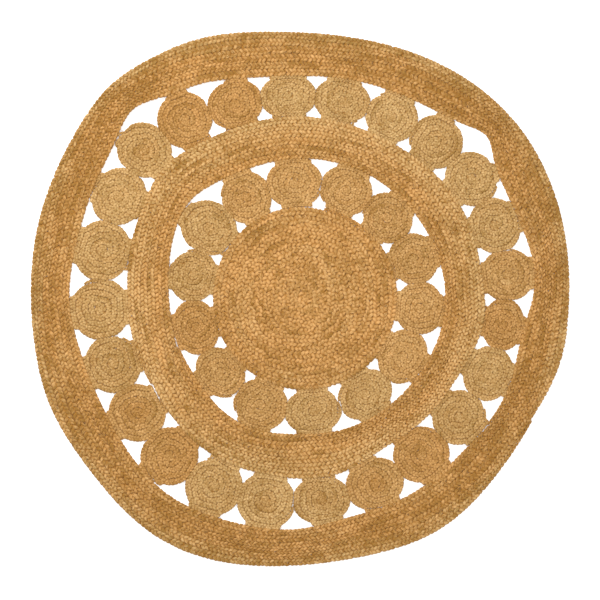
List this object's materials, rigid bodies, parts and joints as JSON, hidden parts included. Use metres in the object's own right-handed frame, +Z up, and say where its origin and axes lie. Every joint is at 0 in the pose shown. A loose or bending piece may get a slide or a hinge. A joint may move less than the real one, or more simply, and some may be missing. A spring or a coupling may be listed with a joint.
{
  "type": "area rug",
  "caption": "Round rug of plaited jute: a coiled centre disc, two rings of small coiled rosettes and two braided bands, stitched edge to edge with open gaps between.",
  "frame": {"origin": "middle of the rug's outline, on the floor face", "axes": "+Z up out of the rug's face; +X and +Y lie in the floor plane"},
  "size_m": [1.1975, 1.1882, 0.009],
  "materials": {
    "jute_thick_plait": "dry natural jute fibre, golden brown, three-strand plait",
    "jute_fine_plait": "dry natural jute fibre, straw to tan, fine three-strand plait",
    "jute_thread": "twisted jute sewing thread"
  },
  "bodies": {
    "root": {"centre_disc": "jute_thick_plait", "centre_disc_stitches": "jute_thread", "inner_rosette_01": "jute_fine_plait", "inner_rosette_02": "jute_fine_plait", "inner_rosette_03": "jute_fine_plait", "inner_rosette_04": "jute_fine_plait", "inner_rosette_05": "jute_fine_plait", "inner_rosette_06": "jute_fine_plait", "inner_rosette_07": "jute_fine_plait", "inner_rosette_08": "jute_fine_plait", "inner_rosette_09": "jute_fine_plait", "inner_rosette_10": "jute_fine_plait", "inner_rosette_11": "jute_fine_plait", "inner_rosette_12": "jute_fine_plait", "inner_rosette_13": "jute_fine_plait", "inner_rosette_14": "jute_fine_plait", "inner_rosette_stitches": "jute_thread", "middle_band": "jute_thick_plait", "middle_band_inner_stitches": "jute_thread", "middle_band_outer_stitches": "jute_thread", "outer_band": "jute_thick_plait", "outer_band_stitches": "jute_thread", "outer_rosette_01": "jute_fine_plait", "outer_rosette_02": "jute_fine_plait", "outer_rosette_03": "jute_fine_plait", "outer_rosette_04": "jute_fine_plait", "outer_rosette_05": "jute_fine_plait", "outer_rosette_06": "jute_fine_plait", "outer_rosette_07": "jute_fine_plait", "outer_rosette_08": "jute_fine_plait", "outer_rosette_09": "jute_fine_plait", "outer_rosette_10": "jute_fine_plait", "outer_rosette_11": "jute_fine_plait", "outer_rosette_12": "jute_fine_plait", "outer_rosette_13": "jute_fine_plait", "outer_rosette_14": "jute_fine_plait", "outer_rosette_15": "jute_fine_plait", "outer_rosette_16": "jute_fine_plait", "outer_rosette_17": "jute_fine_plait", "outer_rosette_18": "jute_fine_plait", "outer_rosette_19": "jute_fine_plait", "outer_rosette_20": "jute_fine_plait", "outer_rosette_21": "jute_fine_plait", "outer_rosette_22": "jute_fine_plait", "outer_rosette_23": "jute_fine_plait", "outer_rosette_24": "jute_fine_plait", "outer_rosette_stitches": "jute_thread"}
  },
  "joints": []
}
